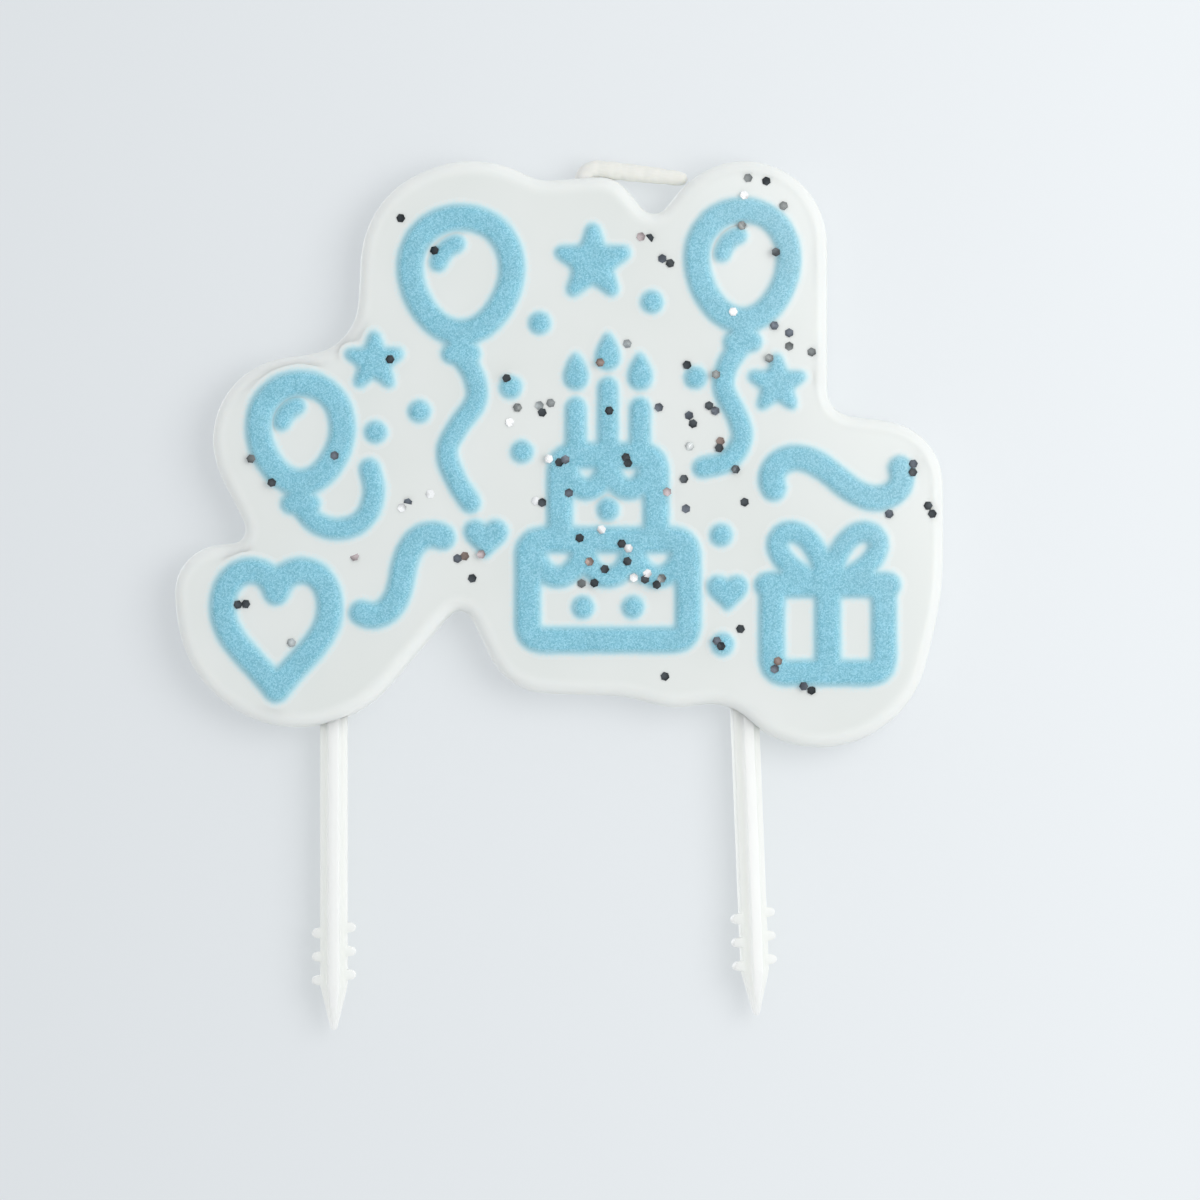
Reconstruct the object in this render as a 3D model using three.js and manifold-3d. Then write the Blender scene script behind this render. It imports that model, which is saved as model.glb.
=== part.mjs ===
// Candle cake topper: a cloud-shaped plaque of white wax with a raised design in blue wax,
// a waxed wick bent over at the top edge, and two barbed plastic picks.
//
// Millimetres, +Z up. The decorated face looks towards -Y and +X is to its right. The origin
// lies midway between the picks, at the plaque's lowest point and in the middle of its
// thickness, so that the surface of the cake is the plane z = 0.

import * as THREE from 'three';
import { ConvexGeometry } from 'three/addons/geometries/ConvexGeometry.js';
import { mergeVertices } from 'three/addons/utils/BufferGeometryUtils.js';
import Module from 'manifold-3d';

const wasm = await Module();
wasm.setup();

// Wax plaque
const PLAQUE_THICKNESS = 6;
const EDGE_ROUND = 1.3;
const EDGE_ROUND_STEPS = 4;
const WALL_DRAFT = 0.2;
const OUTLINE_STEP = 1.8;

// Raised design
const RELIEF_HEIGHT = 0.8;
const STROKE_WIDTH = 2.8;
const FINE_STROKE_WIDTH = 2.2;
const DOT_RADIUS = 1.25;
const CORNER_RADIUS = 1.6;
const CURVE_STEP = 0.85;
const ROUND_END_STEPS = 7;

// Cake, along the middles of its strokes
const CAKE_LOWER_WIDTH = 20;
const CAKE_LOWER_HEIGHT = 12.5;
const CAKE_UPPER_WIDTH = 12;
const CAKE_UPPER_HEIGHT = 10.5;
const SCALLOP_INSET = 0.7;
const CANDLE_SPACING = 4;
const SIDE_CANDLE_HEIGHT = 6;
const MIDDLE_CANDLE_HEIGHT = 8.5;
const FLAME_WIDTH = 3;
const FLAME_HEIGHT = 4.6;
const FLAME_GAP = 1.2;
const CAKE_X = 8.5;
const CAKE_Z = 13.5;
const ICING_DOTS = [[-3.1, 4.1], [3.1, 4.1], [0, CAKE_LOWER_HEIGHT + 3.8]];

// Present, heart and scrolls, along the middles of their strokes
const PRESENT_WIDTH = 14;
const PRESENT_HEIGHT = 11;
const LID_OVERHANG = 0.6;
const BOW_WIDTH = 13;
const BOW_HEIGHT = 6.6;
const HEART_WIDTH = 13.4;
const HEART_HEIGHT = 13.2;
const LEFT_SCROLL_LENGTH = 16.6;
const RIGHT_SCROLL_LENGTH = 23;
const SCROLL_END_RADIUS = 2.05;

// Balloons: the size of each skin along the middle of its stroke, and the way of its string,
// both from the middle of the skin
const KNOT_DROP = 2.6;
const KNOT_WIDTH = 2.4;
const SHINE_WIDTH = 1.8;
const SHINE_SHARE = 0.46;
const BALLOONS = [
  { name: 'relief_balloon_top', x: -9.8, z: 59, width: 12.6, height: 14.4,
    string: [[1.6, -12.6], [1.9, -15.6], [-0.4, -19], [-1.8, -22], [-0.6, -25.6], [1.2, -28.4]] },
  { name: 'relief_balloon_left', x: -29.8, z: 39.3, width: 10.4, height: 12.4,
    string: [[2, -11.2], [5, -12], [8, -10.6], [9.2, -7.4], [8.6, -4.4]] },
  { name: 'relief_balloon_right', x: 25.3, z: 60.2, width: 11.4, height: 13.8,
    string: [[-1.9, -12.4], [-2.4, -15.4], [-0.8, -18.6], [-0.1, -21.6], [-2, -24.4], [-5, -25.2]] },
];

// Small filled motifs: the place and size of each star and heart, and the place of each dot
const STARS = [
  { name: 'relief_star_top', x: 6.6, z: 60.5, radius: 4.8 },
  { name: 'relief_star_right', x: 29.6, z: 45.4, radius: 3.7 },
  { name: 'relief_star_left', x: -20.6, z: 48.2, radius: 3.7 },
];
const SMALL_HEARTS = [
  { name: 'relief_small_heart_left', x: -6.7, z: 26.4, width: 5.2 },
  { name: 'relief_small_heart_right', x: 23.4, z: 19.6, width: 4.8 },
];
const CONFETTI = [
  [-20.4, 39.4], [-15, 42], [-3.6, 45], [-2.2, 37], [0, 53],
  [14, 55.6], [19.4, 46.2], [22.6, 26.6], [22.8, 13],
];

// Wick
const WICK_DIAMETER = 1.9;
const WICK_EMBEDDED_LENGTH = 30;
const WICK_EXPOSED_LENGTH = 12;
const WICK_BEND_RADIUS = 1.6;
const WICK_DROOP = 0.7;
const WICK_SIDES = 10;
const WICK_STEP = 1.1;

// Picks
const PICK_SPACING = 51.5;
const PICK_LENGTH = 52;
const PICK_RIB_WIDTH = 3.4;
const PICK_RIB_THICKNESS = 1.4;
const PICK_TIP_WIDTH = 0.7;
const PICK_TAPER_LENGTH = 5.6;
const BARB_DIAMETER = 1.25;
const BARB_SPAN = 5.5;
const BARB_PITCH = 2.95;
const BARB_STAGGER = 0.7;
const BARBS_PER_SIDE = 3;
const LEFT_PICK_DEPTH = 35.25;
const RIGHT_PICK_DEPTH = 33.4;
const RIGHT_PICK_LEAN = THREE.MathUtils.degToRad(2.25);
const RIGHT_PICK_TURN = THREE.MathUtils.degToRad(15);

// Gap between the wax and what is cast into it
const CAST_CLEARANCE = 0.3;

// The plaque's outline is a chain of circles joined by straight tangents, clockwise seen from
// the front: each has its centre x and z, its radius, and whether the edge bulges or hollows.
const BULGE = 1;
const HOLLOW = -1;
const CREST_BESIDE_WICK = [7.5, 67, 4.5, BULGE];
const OUTLINE_CIRCLES = [
  [-10, 60.5, 12.5, BULGE],
  [-8.5, 59.5, 14, BULGE],
  [1, 76, 5, HOLLOW],
  CREST_BESIDE_WICK,
  [14.25, 68.5, 1.75, HOLLOW],
  [25.5, 63, 10.5, BULGE],
  [39, 44.5, 3, HOLLOW],
  [42.5, 33, 8, BULGE],
  [6.75, 24.5, 43.75, BULGE],
  [35, 13.75, 13.75, BULGE],
  [21.5, 0, 5.5, HOLLOW],
  [17, 13.5, 8.5, BULGE],
  [8.5, -8.5, 15, HOLLOW],
  [1, 14.75, 8, BULGE],
  [-10, 15.75, 1.5, HOLLOW],
  [-30.25, 17.75, 15.25, BULGE],
  [-39.75, 19.5, 6, BULGE],
  [-38.5, 27.25, 1.75, HOLLOW],
  [-30.5, 38.5, 10.5, BULGE],
  [-29.5, 56, 6.75, HOLLOW],
];

const whiteWax = { color: 0xf2f0ea, roughness: 0.45, metalness: 0 };
const blueWax = { color: 0x85c8dc, roughness: 0.5, metalness: 0 };
const whitePlastic = { color: 0xf3f2ec, roughness: 0.35, metalness: 0 };
const waxedCotton = { color: 0xe8e2cf, roughness: 0.8, metalness: 0 };

// Solids

function toSolid(geometry) {
  const bare = geometry.clone();
  bare.deleteAttribute('normal');
  bare.deleteAttribute('uv');
  const merged = mergeVertices(bare, 1e-5);
  return new wasm.Manifold(new wasm.Mesh({
    numProp: 3,
    vertProperties: new Float32Array(merged.attributes.position.array),
    triVerts: new Uint32Array(merged.index.array),
  }));
}

function toGeometry(solid) {
  const mesh = solid.getMesh();
  const geometry = new THREE.BufferGeometry();
  geometry.setAttribute('position', new THREE.BufferAttribute(mesh.vertProperties, 3));
  geometry.setIndex(new THREE.BufferAttribute(mesh.triVerts, 1));
  geometry.computeVertexNormals();
  return geometry;
}

function named(name, geometry, material) {
  const mesh = new THREE.Mesh(geometry, new THREE.MeshStandardMaterial(material));
  mesh.name = name;
  return mesh;
}

// Turns what is drawn flat, x right and y up, so that it stands and its depth comes forward
function standUp(geometry) {
  const quarterTurn = new THREE.Matrix4().set(
    1, 0, 0, 0,
    0, 0, -1, 0,
    0, 1, 0, 0,
    0, 0, 0, 1,
  );
  return geometry.applyMatrix4(quarterTurn);
}

// Outline of the plaque

// A tangent from one circle to the next keeps both centres on their own sides of the edge, so
// its heading follows from the difference of the two signed radii
function outlineHeadings() {
  return OUTLINE_CIRCLES.map(([x, z, radius, turn], i) => {
    const [nextX, nextZ, nextRadius, nextTurn] = OUTLINE_CIRCLES[(i + 1) % OUTLINE_CIRCLES.length];
    const distance = Math.hypot(nextX - x, nextZ - z);
    const lean = Math.asin((nextRadius * nextTurn - radius * turn) / distance);
    return Math.atan2(nextZ - z, nextX - x) + lean;
  });
}

function outlinePoints(inset) {
  const headings = outlineHeadings();
  const points = [];
  OUTLINE_CIRCLES.forEach(([x, z, radius, turn], i) => {
    const start = headings.at(i - 1);
    const fullTurn = 2 * Math.PI;
    const swept = ((turn * (start - headings[i])) % fullTurn + fullTurn) % fullTurn;
    const steps = Math.max(3, Math.ceil(swept * radius / OUTLINE_STEP));
    const signedRadius = turn * radius - inset;
    for (let k = 0; k <= steps; k++) {
      const heading = start - turn * swept * k / steps;
      points.push(new THREE.Vector2(
        x - signedRadius * Math.sin(heading),
        z + signedRadius * Math.cos(heading),
      ));
    }
  });
  return points;
}

// A slab whose edge runs straight up from the back with a little draft and is rounded at the
// front: one ring of points for each level, closed by a face at the back and at the front
function plaqueSlab() {
  const levels = [{ depth: -PLAQUE_THICKNESS / 2, inset: 0 }];
  for (let k = 0; k <= EDGE_ROUND_STEPS; k++) {
    const angle = (Math.PI / 2) * (k / EDGE_ROUND_STEPS);
    levels.push({
      depth: PLAQUE_THICKNESS / 2 - EDGE_ROUND * (1 - Math.sin(angle)),
      inset: WALL_DRAFT + EDGE_ROUND * (1 - Math.cos(angle)),
    });
  }
  const rings = levels.map((level) => outlinePoints(level.inset));
  const count = rings[0].length;
  const positions = rings.flatMap((ring, i) => ring.flatMap((p) => [p.x, p.y, levels[i].depth]));
  const index = [];
  for (let i = 0; i + 1 < rings.length; i++) {
    for (let k = 0; k < count; k++) {
      const a = i * count + k;
      const b = i * count + (k + 1) % count;
      index.push(a, a + count, b, b, a + count, b + count);
    }
  }
  const front = (rings.length - 1) * count;
  for (const [a, b, c] of THREE.ShapeUtils.triangulateShape(rings[0], [])) {
    index.push(a, c, b);
  }
  for (const [a, b, c] of THREE.ShapeUtils.triangulateShape(rings.at(-1), [])) {
    index.push(front + a, front + b, front + c);
  }
  const slab = new THREE.BufferGeometry();
  slab.setAttribute('position', new THREE.BufferAttribute(new Float32Array(positions), 3));
  slab.setIndex(index);
  return standUp(slab);
}

// Picks

// A rib is the hull of three rectangles: the blunt tip, the end of the taper, and the head
function pickRib(widthX, widthY, length, tipWidth) {
  const corners = [];
  for (const [z, x, y] of [
    [0, tipWidth, tipWidth],
    [PICK_TAPER_LENGTH, widthX, widthY],
    [length, widthX, widthY],
  ]) {
    for (const [signX, signY] of [[-1, -1], [1, -1], [1, 1], [-1, 1]]) {
      corners.push(new THREE.Vector3(signX * x / 2, signY * y / 2, z));
    }
  }
  return toSolid(new ConvexGeometry(corners));
}

function pickBody(extra) {
  const width = PICK_RIB_WIDTH + 2 * extra;
  const thickness = PICK_RIB_THICKNESS + 2 * extra;
  const tip = PICK_TIP_WIDTH + 2 * extra;
  const sideRib = pickRib(width, thickness, PICK_LENGTH + extra, tip);
  const frontRib = pickRib(thickness, width, PICK_LENGTH + extra, tip);
  return sideRib.add(frontRib);
}

function pickBarb(side, height) {
  const reach = BARB_SPAN / 2 - BARB_DIAMETER / 2;
  const barb = new THREE.CapsuleGeometry(BARB_DIAMETER / 2, reach, 3, 8);
  barb.rotateZ(Math.PI / 2);
  barb.translate(side * reach / 2, 0, height);
  return toSolid(barb);
}

function pickSolid() {
  let pick = pickBody(0);
  for (let k = 0; k < BARBS_PER_SIDE; k++) {
    const height = PICK_TAPER_LENGTH + BARB_DIAMETER / 2 + k * BARB_PITCH;
    pick = pick.add(pickBarb(-1, height)).add(pickBarb(1, height + BARB_STAGGER));
  }
  return pick;
}

function placePick(object, side) {
  const depth = side < 0 ? LEFT_PICK_DEPTH : RIGHT_PICK_DEPTH;
  const lean = side < 0 ? 0 : RIGHT_PICK_LEAN;
  const turn = side < 0 ? 0 : RIGHT_PICK_TURN;
  object.position.set(side * PICK_SPACING / 2 + depth * Math.tan(lean), 0, -depth);
  object.rotation.set(0, -lean, turn);
  object.updateMatrix();
  return object;
}

// Wick

// Up through the wax, round a tight bend above the crest of the edge, and along the edge
function wickPath(extraDepth) {
  const [crestX, crestZ, crestRadius] = CREST_BESIDE_WICK;
  const runZ = crestZ + crestRadius + CAST_CLEARANCE + WICK_DIAMETER / 2;
  const x = crestX - WICK_BEND_RADIUS - CAST_CLEARANCE;
  const bendZ = runZ - WICK_BEND_RADIUS;
  const path = new THREE.CurvePath();
  path.add(new THREE.LineCurve3(
    new THREE.Vector3(x, 0, bendZ - WICK_EMBEDDED_LENGTH - extraDepth),
    new THREE.Vector3(x, 0, bendZ),
  ));
  path.add(new THREE.QuadraticBezierCurve3(
    new THREE.Vector3(x, 0, bendZ),
    new THREE.Vector3(x, 0, runZ),
    new THREE.Vector3(x + WICK_BEND_RADIUS, 0, runZ),
  ));
  path.add(new THREE.CubicBezierCurve3(
    new THREE.Vector3(x + WICK_BEND_RADIUS, 0, runZ),
    new THREE.Vector3(x + WICK_EXPOSED_LENGTH / 3, 0, runZ),
    new THREE.Vector3(x + 2 * WICK_EXPOSED_LENGTH / 3, 0, runZ),
    new THREE.Vector3(x + WICK_EXPOSED_LENGTH, 0, runZ - WICK_DROOP),
  ));
  return path;
}

function wickTube(radius, extraDepth) {
  const section = new THREE.Shape();
  section.absarc(0, 0, radius, 0, 2 * Math.PI);
  const path = wickPath(extraDepth);
  return new THREE.ExtrudeGeometry(section, {
    extrudePath: path,
    steps: Math.round(path.getLength() / WICK_STEP),
    curveSegments: WICK_SIDES / 2,
  });
}

// Raised design, drawn flat

// Points along an ellipse's arc, from one angle to another in degrees
function arc(x, y, radiusX, radiusY, from, to) {
  const curve = new THREE.EllipseCurve(
    x, y, radiusX, radiusY,
    THREE.MathUtils.degToRad(from), THREE.MathUtils.degToRad(to), to < from,
  );
  return spaced(curve);
}

function spaced(curve) {
  return curve.getSpacedPoints(Math.max(2, Math.ceil(curve.getLength() / CURVE_STEP)));
}

function smooth(...points) {
  return spaced(new THREE.SplineCurve(points.map(([x, y]) => new THREE.Vector2(x, y))));
}

function bezier(...points) {
  return spaced(new THREE.CubicBezierCurve(...points.map(([x, y]) => new THREE.Vector2(x, y))));
}

function straight(...points) {
  return points.map(([x, y]) => new THREE.Vector2(x, y));
}

// The unit vector to the left of a path at one of its points
function leftOf(points, i, closed) {
  const last = points.length - 1;
  const before = points[closed ? (i + last) % points.length : Math.max(0, i - 1)];
  const after = points[closed ? (i + 1) % points.length : Math.min(last, i + 1)];
  return new THREE.Vector2(before.y - after.y, after.x - before.x).normalize();
}

function beside(points, distance, closed) {
  return points.map((p, i) => p.clone().addScaledVector(leftOf(points, i, closed), distance));
}

function roundEnd(centre, from, radius) {
  const start = Math.atan2(from.y, from.x);
  const points = [];
  for (let k = 1; k < ROUND_END_STEPS; k++) {
    const angle = start - Math.PI * k / ROUND_END_STEPS;
    points.push(new THREE.Vector2(
      centre.x + radius * Math.cos(angle),
      centre.y + radius * Math.sin(angle),
    ));
  }
  return points;
}

// A stroke of one width along a path, with round ends
function stroke(points, width = STROKE_WIDTH) {
  const half = width / 2;
  const last = points.length - 1;
  const left = beside(points, half, false);
  const right = beside(points, -half, false).reverse();
  return new THREE.Shape([
    ...left,
    ...roundEnd(points[last], leftOf(points, last, false), half),
    ...right,
    ...roundEnd(points[0], leftOf(points, 0, false).negate(), half),
  ]);
}

// A stroke that closes on itself, drawn anticlockwise
function loop(points, width = STROKE_WIDTH) {
  const open = points.slice(0, -1);
  const shape = new THREE.Shape(beside(open, -width / 2, true));
  shape.holes.push(new THREE.Path(beside(open, width / 2, true)));
  return shape;
}

function dot() {
  return new THREE.Shape(arc(0, 0, DOT_RADIUS, DOT_RADIUS, 0, 360).slice(0, -1));
}

// A closed stroke round a rectangle that stands on y = 0
function roundedBox(width, height) {
  const side = width / 2;
  const r = CORNER_RADIUS;
  return loop([
    ...arc(r - side, r, r, r, 180, 270),
    ...arc(side - r, r, r, r, 270, 360),
    ...arc(side - r, height - r, r, r, 0, 90),
    ...arc(r - side, height - r, r, r, 90, 180),
    new THREE.Vector2(-side, r),
  ]);
}

// A five-pointed star whose tips are blunted by a chord on each side
function star(tipRadius) {
  const dipRadius = 0.5 * tipRadius;
  const bluntRadius = 0.96 * tipRadius;
  const bluntAngle = THREE.MathUtils.degToRad(7);
  const points = [];
  for (let k = 0; k < 5; k++) {
    const tip = Math.PI / 2 + k * 2 * Math.PI / 5;
    for (const [angle, radius] of [
      [tip - bluntAngle, bluntRadius],
      [tip, tipRadius],
      [tip + bluntAngle, bluntRadius],
      [tip + Math.PI / 5, dipRadius],
    ]) {
      points.push(new THREE.Vector2(radius * Math.cos(angle), radius * Math.sin(angle)));
    }
  }
  return new THREE.Shape(points);
}

// The sine-cubed heart curve, filled
function smallHeart(width) {
  const steps = 24;
  const unit = width / 32;
  const points = [];
  for (let k = 0; k < steps; k++) {
    const t = -2 * Math.PI * k / steps;
    const rise = 13 * Math.cos(t) - 5 * Math.cos(2 * t) - 2 * Math.cos(3 * t) - Math.cos(4 * t);
    points.push(new THREE.Vector2(16 * unit * Math.sin(t) ** 3, unit * rise));
  }
  return new THREE.Shape(points);
}

// A flame that stands on y = 0: a circle's points drawn in towards a tip at the top
function flame() {
  const steps = 14;
  const points = [];
  for (let k = 0; k < steps; k++) {
    const t = -2 * Math.PI * k / steps;
    const fullness = 1.25 * Math.abs(Math.sin(t / 2)) ** 1.2;
    points.push(new THREE.Vector2(
      FLAME_WIDTH / 2 * Math.sin(t) * fullness,
      FLAME_HEIGHT * (1 + Math.cos(t)) / 2,
    ));
  }
  return new THREE.Shape(points);
}

const CANDLES = [
  { side: 'left', x: -CANDLE_SPACING, height: SIDE_CANDLE_HEIGHT },
  { side: 'middle', x: 0, height: MIDDLE_CANDLE_HEIGHT },
  { side: 'right', x: CANDLE_SPACING, height: SIDE_CANDLE_HEIGHT },
];
const CAKE_TOP = CAKE_LOWER_HEIGHT + CAKE_UPPER_HEIGHT;

function scallops(count, width, top, drop) {
  const half = (width / 2 - SCALLOP_INSET) / count;
  const strokes = [];
  for (let k = 0; k < count; k++) {
    const middle = half * (2 * k + 1 - count);
    strokes.push(stroke(arc(middle, top, half, drop, 180, 360), FINE_STROKE_WIDTH));
  }
  return strokes;
}

// Two tiers with scalloped icing and three candles, drawn from the middle of the cake's base
function cake() {
  const side = CAKE_UPPER_WIDTH / 2;
  const r = CORNER_RADIUS;
  return [
    roundedBox(CAKE_LOWER_WIDTH, CAKE_LOWER_HEIGHT),
    stroke([
      new THREE.Vector2(side, CAKE_LOWER_HEIGHT),
      ...arc(side - r, CAKE_TOP - r, r, r, 0, 90),
      ...arc(r - side, CAKE_TOP - r, r, r, 90, 180),
      new THREE.Vector2(-side, CAKE_LOWER_HEIGHT),
    ]),
    ...scallops(3, CAKE_LOWER_WIDTH, CAKE_LOWER_HEIGHT, 4.7),
    ...scallops(2, CAKE_UPPER_WIDTH, CAKE_TOP, 4.3),
    ...CANDLES.map(({ x, height }) => (
      stroke(straight([x, CAKE_TOP], [x, CAKE_TOP + height]), FINE_STROKE_WIDTH))),
  ];
}

// An egg-shaped skin, narrower below, with its knot and its string
function balloon({ width, height, string }) {
  const radiusX = width / 2;
  const radiusY = height / 2;
  const steps = Math.ceil(2 * Math.PI * radiusY / CURVE_STEP);
  const skin = [];
  for (let k = 0; k <= steps; k++) {
    const t = 2 * Math.PI * k / steps;
    const reach = radiusX * (1 + 0.13 * Math.sin(t));
    skin.push(new THREE.Vector2(reach * Math.cos(t), radiusY * Math.sin(t)));
  }
  const knotY = -radiusY - KNOT_DROP;
  return [
    loop(skin),
    stroke(straight([-KNOT_WIDTH / 2, knotY], [KNOT_WIDTH / 2, knotY]), FINE_STROKE_WIDTH),
    stroke(smooth([0, -radiusY], [0, knotY], ...string), FINE_STROKE_WIDTH),
  ];
}

// The short arc of light inside a balloon's skin
function shine({ width, height }) {
  return [stroke(arc(0, 0.6, SHINE_SHARE * width / 2, SHINE_SHARE * height / 2, 100, 165), SHINE_WIDTH)];
}

// Two mirrored strokes that meet at the dip and at the point, drawn from the heart's middle
function heart() {
  const h = HEART_HEIGHT;
  return [-HEART_WIDTH / 2, HEART_WIDTH / 2].map((edge) => {
    const lobe = bezier([0, 0.32 * h], [0.1 * edge, 0.62 * h], [edge, 0.62 * h], [edge, 0.18 * h]);
    const side = bezier([edge, 0.18 * h], [edge, -0.12 * h], [0.42 * edge, -0.3 * h], [0, -0.6 * h]);
    return stroke([...lobe.slice(0, -1), ...side]);
  });
}

// A double spiral: the path's bend grows evenly from its middle towards both curled ends
function scroll(length, tiltDegrees, mirror) {
  const tilt = THREE.MathUtils.degToRad(tiltDegrees);
  const steps = Math.ceil(length / 2 / CURVE_STEP);
  const step = length / 2 / steps;
  const points = [new THREE.Vector2(0, 0)];
  for (const side of [1, -1]) {
    const walk = new THREE.Vector2(0, 0);
    for (let k = 0; k < steps; k++) {
      const along = (k + 0.5) * step;
      const heading = tilt + along ** 2 / (SCROLL_END_RADIUS * length);
      walk.x += mirror * side * step * Math.cos(heading);
      walk.y += side * step * Math.sin(heading);
      if (side > 0) {
        points.push(walk.clone());
      } else {
        points.unshift(walk.clone());
      }
    }
  }
  return [stroke(points)];
}

// A box with a lid, a ribbon down its front and a bow of two loops, drawn from its base
function present() {
  const lid = PRESENT_WIDTH / 2 + LID_OVERHANG;
  const top = PRESENT_HEIGHT;
  const strokes = [
    roundedBox(PRESENT_WIDTH, top),
    stroke(straight([-lid, top], [lid, top])),
    stroke(straight([0, 0], [0, top])),
  ];
  for (const reach of [-BOW_WIDTH / 2, BOW_WIDTH / 2]) {
    const knot = [0, top];
    const crown = [0.77 * reach, top + BOW_HEIGHT];
    const rise = bezier(knot, [0.15 * reach, top + 0.7 * BOW_HEIGHT],
      [0.45 * reach, top + 1.06 * BOW_HEIGHT], crown);
    const fall = bezier(crown, [1.23 * reach, top + 0.9 * BOW_HEIGHT],
      [0.92 * reach, top + 0.23 * BOW_HEIGHT], knot);
    strokes.push(stroke(rise, FINE_STROKE_WIDTH), stroke(fall, FINE_STROKE_WIDTH));
  }
  return strokes;
}

// One raised piece of blue wax, seated on the plaque's face
function relief(name, x, z, shapes) {
  let solid = null;
  for (const shape of shapes) {
    const piece = toSolid(standUp(new THREE.ExtrudeGeometry(shape, {
      depth: RELIEF_HEIGHT,
      bevelEnabled: false,
      curveSegments: 1,
    })));
    solid = solid ? solid.add(piece) : piece;
  }
  const mesh = named(name, toGeometry(solid), blueWax);
  mesh.position.set(x, -PLAQUE_THICKNESS / 2, z);
  return mesh;
}

// Assembly

const topper = new THREE.Group();

let plaque = toSolid(plaqueSlab());
for (const [name, side] of [['pick_left', -1], ['pick_right', 1]]) {
  const pick = placePick(named(name, toGeometry(pickSolid()), whitePlastic), side);
  plaque = plaque.subtract(pickBody(CAST_CLEARANCE).transform(pick.matrix.elements));
  topper.add(pick);
}
plaque = plaque.subtract(toSolid(wickTube(WICK_DIAMETER / 2 + CAST_CLEARANCE, CAST_CLEARANCE)));
topper.add(named('wax_plaque', toGeometry(plaque), whiteWax));
topper.add(named('wick', wickTube(WICK_DIAMETER / 2, 0), waxedCotton));

topper.add(
  relief('relief_cake', CAKE_X, CAKE_Z, cake()),
  relief('relief_present', 35.9, 9.4, present()),
  relief('relief_heart', -32.8, 15.2, heart()),
  relief('relief_scroll_left', -17.1, 21.6, scroll(LEFT_SCROLL_LENGTH, 100, -1)),
  relief('relief_scroll_right', 37, 33.7, scroll(RIGHT_SCROLL_LENGTH, -40, 1)),
);
CANDLES.forEach(({ side, x, height }) => {
  const base = CAKE_TOP + height + FINE_STROKE_WIDTH / 2 + FLAME_GAP;
  topper.add(relief(`relief_flame_${side}`, CAKE_X + x, CAKE_Z + base, [flame()]));
});
ICING_DOTS.forEach(([x, z], i) => {
  topper.add(relief(`relief_icing_dot_${i + 1}`, CAKE_X + x, CAKE_Z + z, [dot()]));
});
BALLOONS.forEach((item) => {
  topper.add(relief(item.name, item.x, item.z, balloon(item)));
  topper.add(relief(`${item.name}_shine`, item.x, item.z, shine(item)));
});
STARS.forEach(({ name, x, z, radius }) => {
  topper.add(relief(name, x, z, [star(radius)]));
});
SMALL_HEARTS.forEach(({ name, x, z, width }) => {
  topper.add(relief(name, x, z, [smallHeart(width)]));
});
CONFETTI.forEach(([x, z], i) => {
  topper.add(relief(`relief_confetti_${i + 1}`, x, z, [dot()]));
});

export default topper;
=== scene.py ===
"""Looks of a candle cake topper: a satin white wax plaque with a raised light blue design, foil
glitter, a waxed wick bent over at the top edge, and two barbed plastic picks. It is seen against
a pale table.

Metres, in the frame of the solids: +Z up, the decorated face towards -Y and the origin midway
between the picks, on the surface of the cake.
"""

import math

import bpy
import numpy as np
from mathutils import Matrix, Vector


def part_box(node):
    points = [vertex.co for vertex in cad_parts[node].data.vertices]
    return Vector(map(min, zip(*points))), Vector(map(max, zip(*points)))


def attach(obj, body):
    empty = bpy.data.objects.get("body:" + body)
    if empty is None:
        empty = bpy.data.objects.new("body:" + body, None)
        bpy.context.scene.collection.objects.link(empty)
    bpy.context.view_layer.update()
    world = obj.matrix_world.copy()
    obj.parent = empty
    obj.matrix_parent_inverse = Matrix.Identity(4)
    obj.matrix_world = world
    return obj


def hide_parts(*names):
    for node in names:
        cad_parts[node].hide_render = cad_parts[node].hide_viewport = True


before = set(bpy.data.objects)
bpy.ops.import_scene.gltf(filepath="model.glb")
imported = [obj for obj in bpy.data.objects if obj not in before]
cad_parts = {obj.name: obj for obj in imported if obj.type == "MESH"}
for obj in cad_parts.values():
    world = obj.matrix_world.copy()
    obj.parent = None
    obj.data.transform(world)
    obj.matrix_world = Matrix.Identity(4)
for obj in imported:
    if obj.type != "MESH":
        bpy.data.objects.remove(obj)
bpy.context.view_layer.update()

MM = 0.001
BODY = "root"
# edges sharper than this stay crisp, and the rest shade smoothly
CRISP_ANGLE = math.radians(50)

# Plaque: it is as deep as its solid, and the front edge is rounded as the solid's is. Light shows
# in the wax as far as EDGE_GLOW from its rounds
FRONT_ROUND = 1.3 * MM
BACK_ROUND = 0.35 * MM
WALL_DRAFT = 0.2 * MM
EDGE_GLOW = 0.9 * MM
OUTLINE_SPACING = 0.28 * MM
OUTLINE_SOFTNESS = 0.6 * MM

# Raised design: cell of its grid, softness of its edges, thickness of its thin foot, the covers at
# which it starts and at which it is as high as it gets, and how deep each piece is set in
RELIEF_CELL = 0.13 * MM
RELIEF_SOFTNESS = 0.4 * MM
RELIEF_FILM = 0.012 * MM
RELIEF_LEAST_COVER = 0.003
RELIEF_CROWN = 0.95
RELIEF_SET_IN = 1.6 * MM

# Glitter: hexagons cut from foil, measured across their flats
FLAKE_COUNT = 92
FLAKE_WIDTH = 1.0 * MM
FLAKE_THICKNESS = 0.06 * MM
# the colours of the flakes and how often, each partly the tone of the foil's coating and partly
# a painted reflection of what its mirror shows: dark room, blue grey, grey, pale, rose, brown,
# the window itself, and a flake seen faintly through a skin of wax
FOIL_AND_PAINTED_REFLECTION_TONES = {
    "45494c": 0.26, "666b73": 0.16, "7d8080": 0.16, "a0a5a6": 0.08, "b0a4a5": 0.08,
    "857670": 0.05, "fafbfc": 0.15, "ccd1cf": 0.06}
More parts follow.
